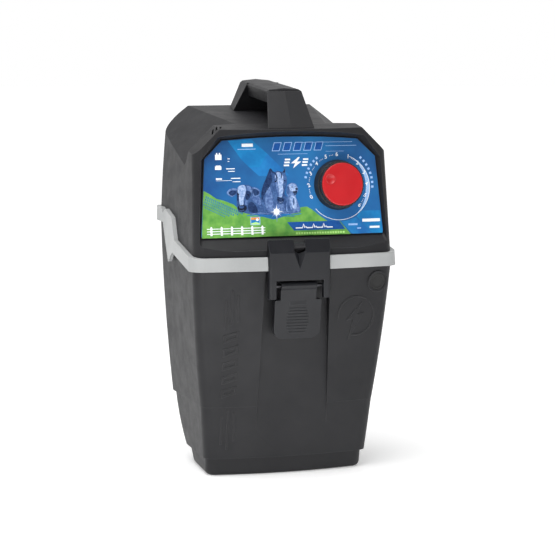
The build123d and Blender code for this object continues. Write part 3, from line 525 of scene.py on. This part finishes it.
def cow():
    """Head of a cow with a pale blaze, on the left of the group."""
    print_piece("print_cow", [
        # ears
        ("coat_light", 5, blob([
            (-76.4, -6), (-72, -1.4), (-65, -1.6), (-63, -6), (-66, -8.4), (-71, -10.4)
        ])),
        ("coat_light", 5, blob([
            (-47, -0.8), (-42.4, -1), (-37.4, -4.4), (-38.6, -9.6), (-44, -10.8), (-47.6, -7)
        ])),
        # insides of the ears
        ("coat_dark", 6, blob([(-74.4, -6), (-71, -3.4), (-66, -4), (-66.4, -7.4), (-70.8, -9.2)])),
        ("coat_dark", 6, blob([
            (-45.4, -2.8), (-42, -2.8), (-38.8, -5.4), (-40, -9), (-44.4, -9.4)
        ])),
        # head
        ("coat_mid", 5, blob([
            (-65, -3.4), (-62, 1), (-57, 2.6), (-50.6, 2), (-46, -1.4), (-46, -8), (-49, -14),
            (-52.6, -20), (-53.4, -25), (-58.6, -28.4), (-64, -26.4), (-65.4, -19), (-65, -11)
        ])),
        # blaze and brow
        ("coat_pale", 6, blob([
            (-63.4, -0.6), (-60, 2), (-56, 2.2), (-54, -1), (-54.6, -7), (-57, -13),
            (-57.6, -19.4), (-61.4, -20), (-62.4, -12), (-63.6, -7)
        ])),
        ("coat_light", 6, blob([(-52.6, 1.2), (-48.6, 0), (-47, -5), (-49.6, -6), (-52, -3)])),
        # shaded cheeks and light jaw
        ("coat_dark", 7, blob([
            (-53.4, -4), (-49, -5.4), (-48.6, -9.6), (-51.6, -14), (-54.4, -13.4), (-54.8, -8)
        ])),
        ("coat_dark", 7, blob([
            (-64.6, -6.4), (-62.8, -7), (-62.4, -11), (-63.4, -16), (-65, -13)
        ])),
        ("coat_light", 7, blob([(-54.4, -14.6), (-52.6, -16), (-53.6, -20), (-55.8, -19)])),
        # eyes
        ("black", 8, oval(-62.9, -8.0, 1.1, 0.8, 30)),
        ("black", 8, oval(-51.8, -8.6, 1.3, 0.8, -25)),
        # muzzle, nose and mouth
        ("black", 7, blob([
            (-64.2, -21.6), (-60, -20), (-55, -20.8), (-54, -24.6), (-58.4, -27.8), (-63.2, -26.2)
        ])),
        ("coat_mid", 8, blob([
            (-62.6, -21.4), (-60, -20.8), (-57, -21.4), (-58, -23.4), (-61.6, -23.4)
        ])),
        ("coat_light", 8, trace([(-62.6, -25.6), (-60, -26.6), (-57, -25.6)], 0.5)),
    ])


def horse():
    """Head and neck of a horse, in the middle of the group."""
    print_piece("print_horse", [
        # mane
        ("coat_dark", 5, blob([
            (-24.6, 20.4), (-21.4, 16), (-22, 9), (-25, 2), (-29, -4), (-33, -9.6), (-35.4, -15),
            (-36.4, -8), (-34, 1), (-30.6, 8), (-28, 14)
        ])),
        # head
        ("coat_mid", 6, blob([
            (-24, 18.4), (-21.4, 15.8), (-16, 17.4), (-10.6, 16.4), (-7, 20.6), (-6.8, 14),
            (-5.4, 8), (-6.4, 0), (-8.8, -7), (-9, -13), (-11.4, -18.6), (-15.6, -19.6),
            (-18.2, -15), (-18, -7), (-20.6, 0), (-22.6, 8)
        ])),
        # neck and chest
        ("coat_light", 5, blob([
            (-29, -2), (-25.6, -1), (-23.4, -10), (-22.6, -20), (-24, -29), (-29, -29),
            (-31.6, -20), (-31, -9)
        ])),
        ("coat_light", 5, blob([
            (-19, -20), (-14, -21), (-11, -20), (-9, -26), (-12, -30), (-18, -29)
        ])),
        # pale face
        ("coat_pale", 7, blob([
            (-18.4, 14.6), (-13.6, 15.6), (-9.6, 11), (-8.6, 3), (-10.6, -6), (-12.4, -12.4),
            (-15.8, -12), (-16.4, -4), (-18.6, 4), (-19.6, 9)
        ])),
        # cheeks
        ("coat_light", 8, blob([
            (-19.4, 8), (-17.2, 9), (-16, 2), (-15.4, -6), (-15.8, -11), (-17, -8), (-18.4, -1)
        ])),
        ("coat_mid", 8, blob([
            (-9.6, 12), (-7.4, 9), (-7.4, 2), (-9.4, -4), (-10.6, -1), (-9.8, 5)
        ])),
        # forelock
        ("coat_dark", 8, trace([(-21.6, 16.4), (-18.4, 14), (-17.2, 10), (-17.6, 6.6)], 1.7)),
        ("coat_dark", 8, trace([(-13, 16.4), (-11.4, 13), (-12, 9.4)], 1.1)),
        # muzzle
        ("coat_dark", 8, blob([
            (-17.6, -12), (-13.4, -12.6), (-10, -13.6), (-10.6, -18), (-14.6, -19.4), (-17.6, -16)
        ])),
        # eyes
        ("black", 9, oval(-18.8, 5.6, 1.4, 0.8, 40)),
        ("black", 9, oval(-8.2, 6.2, 0.9, 0.8, -35)),
        # nostrils and lip
        ("black", 9, oval(-16.4, -15, 0.9, 0.6, 60)),
        ("black", 9, oval(-11.6, -15.4, 0.8, 0.6, -60)),
        ("coat_pale", 9, trace([(-15.6, -17.6), (-13.6, -18.2), (-11.6, -17.4)], 0.5)),
        # insides of the ears
        ("black", 9, [(-24.2, 19), (-22.8, 15.6), (-21.4, 16.2)]),
        ("black", 9, [(-7.6, 19.6), (-9.8, 16), (-7.6, 15)]),
    ])


def dog():
    """Sitting dog, on the right of the group."""
    print_piece("print_dog", [
        # head and body
        ("coat_light", 5, blob([
            (-6, -2), (-4, 2), (0.6, 3.6), (5, 1.8), (7, -2), (7, -6), (4.8, -9.4), (4.4, -13),
            (6.4, -18), (8.4, -25), (7, -29), (-6.4, -29), (-7.4, -22), (-5, -13), (-6.6, -7)
        ])),
        # brow
        ("coat_pale", 6, blob([
            (-3.4, 1), (0.6, 2.8), (4.6, 0.6), (5.4, -3), (2.6, -6), (-1.6, -5)
        ])),
        # ear
        ("coat_mid", 6, blob([(-6, -1.6), (-4, 0), (-2.8, -4), (-3.4, -9), (-5.8, -8.4)])),
        # chest and shoulder
        ("coat_pale", 6, blob([(-1.6, -11), (3, -12), (5, -19), (4, -26), (0, -24), (-2, -17)])),
        ("coat_mid", 6, blob([(-6.6, -22), (-4.4, -14), (-3.6, -21), (-2, -27), (-5, -28)])),
        ("coat_mid", 7, blob([(1, -14), (2.2, -14.4), (2.6, -19), (1.4, -22), (0.6, -18)])),
        # nose
        ("black", 7, oval(5.6, -3.4, 1.5, 1.1, -10)),
        # eyes
        ("black", 7, oval(0.4, -1.2, 0.8, 0.6)),
        ("black", 7, oval(4.0, -0.4, 0.6, 0.5)),
        # open mouth
        ("black", 7, blob([(1.4, -6.2), (4.2, -6), (6, -5.2), (5.2, -9), (2.8, -9.8)])),
        ("coat_light", 8, oval(3.6, -8.2, 0.9, 0.6, 10)),
    ])

def spark():
    """Star of light round the pulse lamp."""
    ray_reach = (8.0, 2.9, 4.6, 2.9, 5.6, 2.9, 4.2, 2.9)
    ray_count = 32
    halo_size = 1.5
    low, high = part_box("pulse_lamp")
    lamp = (low + high) / 2
    middle = Vector((lamp.x / MM, (lamp - LABEL_MIDDLE).dot(UP) / MM))
    rays = []
    for index in range(ray_count):
        angle = 2 * math.pi * index / ray_count
        reach = ray_reach[index % len(ray_reach)]
        rays.append((middle.x + reach * math.cos(angle), middle.y + reach * math.sin(angle)))
    halo = [middle + (Vector(point) - middle) * halo_size for point in rays]
    print_piece("print_spark", [("coat_light", 8, halo), ("white", 9, rays)])


def marks():
    """Battery pictograms, caption bars, a row of hollow tiles and a lightning bolt."""
    white_bars = [
        (-88.5, 31, -81, 37), (-87.2, 37, -85.6, 38.8), (-84, 37, -82.4, 38.8),
        (-89, 20, -81.6, 23.8), (-88, 23.8, -82.6, 24.8), (-88.4, 9, -81.4, 10.6), (-88.4, 7.6, -70, 8.0),
        (-76, 20.4, -66, 21.4), (-74, 17.6, -66, 18.4), (-71, 9.6, -60, 10.6), (-69, 6.0, -60, 6.8),
        (-74, 31.6, -71.6, 32.4), (-74, 28.8, -72, 29.6), (-57, 45, -44, 48.6),
    ]
    light_bars = [
        (-62, 42, -41, 42.8), (10, 48.6, 74, 49.0), (42, 44.4, 79, 44.8), (42, 38.2, 64, 38.5),
        (-15, 35.9, 20, 36.3),
    ]
    layers = [("white", 2, rectangle(*bar)) for bar in white_bars]
    layers += [("light", 2, rectangle(*bar)) for bar in light_bars]
    for index in range(5):
        x = -22 + 12.4 * index
        layers.append(("light", 2, [(x, 39.6), (x + 9, 39.6), (x + 12, 49.4), (x + 3, 49.4)]))
        layers.append(("navy", 3, [(x + 0.9, 40.3), (x + 8.5, 40.3), (x + 11.1, 48.7), (x + 3.5, 48.7)]))
    bolt = [(9, 32.4), (0, 25.6), (5, 25.6), (2.6, 20), (12.4, 27.4), (7.2, 27.4), (11, 32.4)]
    layers.append(("white", 2, bolt))
    for row in range(3):
        y = 22.4 + 3.3 * row
        shift = 0.8 * row
        layers.append(("white", 2, rectangle(-8.5 + shift, y, -2.2 + shift, y + 1.9)))
        layers.append(("white", 2, rectangle(13 + shift, y, 19.3 + shift, y + 1.9)))
    print_piece("print_marks", layers)


def fence():
    """Three rails on six pointed posts."""
    layers = [("white", 3, rectangle(-101, y, -33, y + 0.9)) for y in (-46.4, -49.2, -52.0)]
    for index in range(6):
        x = -97 + 11.9 * index
        post = [(x, -53.6), (x + 2.4, -53.6), (x + 2.4, -44.6), (x + 1.2, -43.2), (x, -44.6)]
        layers.append(("white", 4, post))
    print_piece("print_fence", layers)


def sticker():
    """Small framed landscape with a sun."""
    print_piece("print_sticker", [
        ("light", 3, rectangle(-50, -42.6, -38.6, -33.6)),
        ("cyan", 4, rectangle(-49.2, -42, -39.4, -36.8)),
        ("orange", 4, rectangle(-49.2, -36.8, -39.4, -34.2)),
        ("lime", 5, [(-49.2, -42), (-39.4, -42), (-39.4, -40.6), (-44, -39.4), (-49.2, -40.8)]),
        ("white", 5, oval(-42, -36.8, 1.5, 1.5)),
    ])


def pulse_panel():
    """Pulse trace on its panel, with the row of blocks under it and the captions in the corner."""
    pulse = [(3, -47.4), (11, -47.4)]
    for index in range(3):
        x = 11 + 12 * index
        pulse += [(x + 1.4, -43.2), (x + 2.8, -47.4), (x + 4.0, -46.0), (x + 5.2, -47.4), (x + 12, -47.4)]
    layers = [("navy", 2, [(-7, -40.6), (55, -40.6), (62, -50.2), (1, -50.2)])]
    layers.append(("white", 3, trace(pulse, 1.3)))
    for index in range(19):
        x = 3 + 3.1 * index
        layers.append(("lime", 2, rectangle(x, -54.6, x + 2.2, -52.4)))
    layers += [
        ("white", 2, rectangle(83, -42.6, 104.4, -39.2)),
        ("white", 2, rectangle(91.5, -50, 103.5, -47.6)),
        ("light", 2, rectangle(66, -46.2, 77, -44.2)),
        ("light", 2, rectangle(76.5, -50.4, 81, -49)),
    ]
    print_piece("print_output", layers)


# The dial has two scales: name, digits, angle of the first digit, step between digits.
SCALES = (("left", "023456", 202.0, -22.4), ("right", "123456", 67.0, -22.0))
DIGIT_RADIUS = 34.6
DIGIT_SIZE = 6.2
DIGIT_WEIGHT = 0.1      # how much each digit is thickened
DOT_RADIUS = 34.4       # radius of the circle that the dots lie on
RING_Y = -2.5           # height of the middle of the arc and the crescent


def dial():
    """Arc, crescent, ticks and dots round the selector knob."""
    ring_x = KNOB_X + 1
    layers = [("white", 3, arc_strip(ring_x, RING_Y, 37.2, 0.55, 68, -140))]
    crescent = arc_strip(ring_x, RING_Y, 36.9, 0.02, 62, -58)
    half = len(crescent) // 2
    outer = crescent[:half]
    inner = []
    for index, (x, y) in enumerate(outer):
        depth = 2.6 * math.sin(math.pi * index / (half - 1))
        inner.append(Vector((x, y)) - Vector((depth, 0)) * 1.6)
    layers.append(("light", 2, outer + inner[::-1]))
    for first, last, count, radius in ((47, -4, 8, 41.6), (166, 128, 6, 39.2)):
        for index in range(count):
            middle = first + (last - first) * index / (count - 1)
            layers.append(("light", 3, arc_strip(KNOB_X, 0, radius, 2.7, middle + 1.7, middle - 1.7, 4)))
    for _, digits, first, step in SCALES:
        for index in range(len(digits) - 1):
            for part in (0.36, 0.5, 0.64):
                x, y = on_circle(KNOB_X, 0, DOT_RADIUS, first + step * (index + part))
                layers.append(("white", 3, oval(x, y, 0.4, 0.4, sides=8)))
    print_piece("print_dial", layers)


def digit_mesh(digit):
    """Flat closed digit, centred on its origin."""
    curve = bpy.data.curves.new("digit", "FONT")
    curve.body = digit
    curve.size = DIGIT_SIZE * MM
    curve.extrude = INK_STEP * 1.5 * MM
    curve.offset = DIGIT_WEIGHT * MM
    curve.align_x = "CENTER"
    curve.align_y = "CENTER"
    text = bpy.data.objects.new("digit", curve)
    scene.collection.objects.link(text)
    bpy.context.view_layer.update()
    mesh = bpy.data.meshes.new_from_object(text.evaluated_get(bpy.context.evaluated_depsgraph_get()))
    bpy.data.objects.remove(text)
    bpy.data.curves.remove(curve)
    return mesh


def digits_on_dial():
    """Digits of both scales, each leaning a little with its place on the circle."""
    label_turn = Matrix((RIGHT, UP, FACING)).transposed()
    for scale, digits, first, step in SCALES:
        for index, digit in enumerate(digits):
            angle = first + step * index
            lean = Matrix.Rotation(math.radians((angle - 90) * 0.3), 3, "Z")
            x, y = on_circle(KNOB_X, 0, DIGIT_RADIUS, angle)
            middle = label_point(x, y, INK_BASE + INK_STEP * 1.5)
            mesh = digit_mesh(digit)
            mesh.transform(Matrix.LocRotScale(middle, label_turn @ lean, None))
            mesh.materials.clear()
            mesh.materials.append(INKS["white"])
            place_print(f"digit_{scale}_{digit}", mesh)


meadow()
sky_bands()
hatch()
herd()
cow()
horse()
dog()
spark()
marks()
fence()
sticker()
pulse_panel()
dial()
digits_on_dial()


# ---------------------------------------------------------------- studio
FLOOR_RADIUS = 14.0
FLOOR_GLOW = (0.30, 0.60)               # near the object and far away
GLOW_REACH = (0.5, 3.0)                 # distances between which the glow rises
TOP_BOX = dict(place=(-0.5, -0.5, 1.9), aim=(0, 0, 0.3), size=(1.6, 1.6), power=34.0)
LOW_CARD = dict(place=(-0.15, -0.62, 0.03), aim=(0, -0.08, 0.06), size=(0.8, 0.12), power=1.6)


def floor():
    """Wide pale floor with a faint cloudy tone."""
    made = bmesh.new()
    bmesh.ops.create_circle(made, cap_ends=True, segments=96, radius=FLOOR_RADIUS)
    mesh = bpy.data.meshes.new("floor")
    made.to_mesh(mesh)
    made.free()
    piece = bpy.data.objects.new("floor", mesh)
    scene.collection.objects.link(piece)
    material, tree, shader, coords = start("floor", Roughness=0.75, Specular_IOR_Level=0.15)
    tone = mixed(tree, noise(tree, coords, 0.8, 2.0), (0.90, 0.90, 0.90), (0.93, 0.93, 0.93))
    reach = put(tree, "ShaderNodeVectorMath", {0: coords}, operation="LENGTH").outputs["Value"]
    glow = spread(tree, reach, *GLOW_REACH, *FLOOR_GLOW)
    feed(tree, shader, Base_Color=tone, Emission_Color=tone, Emission_Strength=glow)
    mesh.materials.append(material)


def softbox(name, place, aim, size, power):
    """Rectangular lamp that the camera doesn't see."""
    light = bpy.data.lights.new(name, "AREA")
    light.shape = "RECTANGLE"
    light.size, light.size_y = size
    light.energy = power
    lamp = bpy.data.objects.new(name, light)
    lamp.location = place
    lamp.rotation_euler = (Vector(aim) - Vector(place)).to_track_quat("-Z", "Y").to_euler()
    lamp.visible_camera = False
    scene.collection.objects.link(lamp)


def room():
    """Soft room light: bright behind, dimmer in front; plain white to the camera."""
    world = bpy.data.worlds.new("room")
    scene.world = world
    world.use_nodes = True
    tree = world.node_tree
    tree.nodes.clear()
    white = rgba((1.0, 1.0, 1.0))
    direction = put(tree, "ShaderNodeTexCoord").outputs["Generated"]
    place = put(tree, "ShaderNodeSeparateXYZ", {0: direction})
    depth = spread(tree, place.outputs["Y"], -0.9, 0.6, 0.22, 0.95)
    side = spread(tree, place.outputs["X"], 0.9, -0.9, 0.85, 0.95)
    strength = put(tree, "ShaderNodeMath", {0: depth, 1: side}, operation="MULTIPLY").outputs[0]
    lit = put(tree, "ShaderNodeBackground", {"Strength": strength, "Color": white})
    plain = put(tree, "ShaderNodeBackground", {"Strength": 1.0, "Color": white})
    seen = put(tree, "ShaderNodeLightPath").outputs["Is Camera Ray"]
    joined = put(tree, "ShaderNodeMixShader", {0: seen, 1: lit.outputs[0], 2: plain.outputs[0]})
    put(tree, "ShaderNodeOutputWorld", {0: joined.outputs[0]})


floor()
room()
softbox("top_box", **TOP_BOX)
softbox("low_card", **LOW_CARD)
scene.view_settings.view_transform = "Standard"
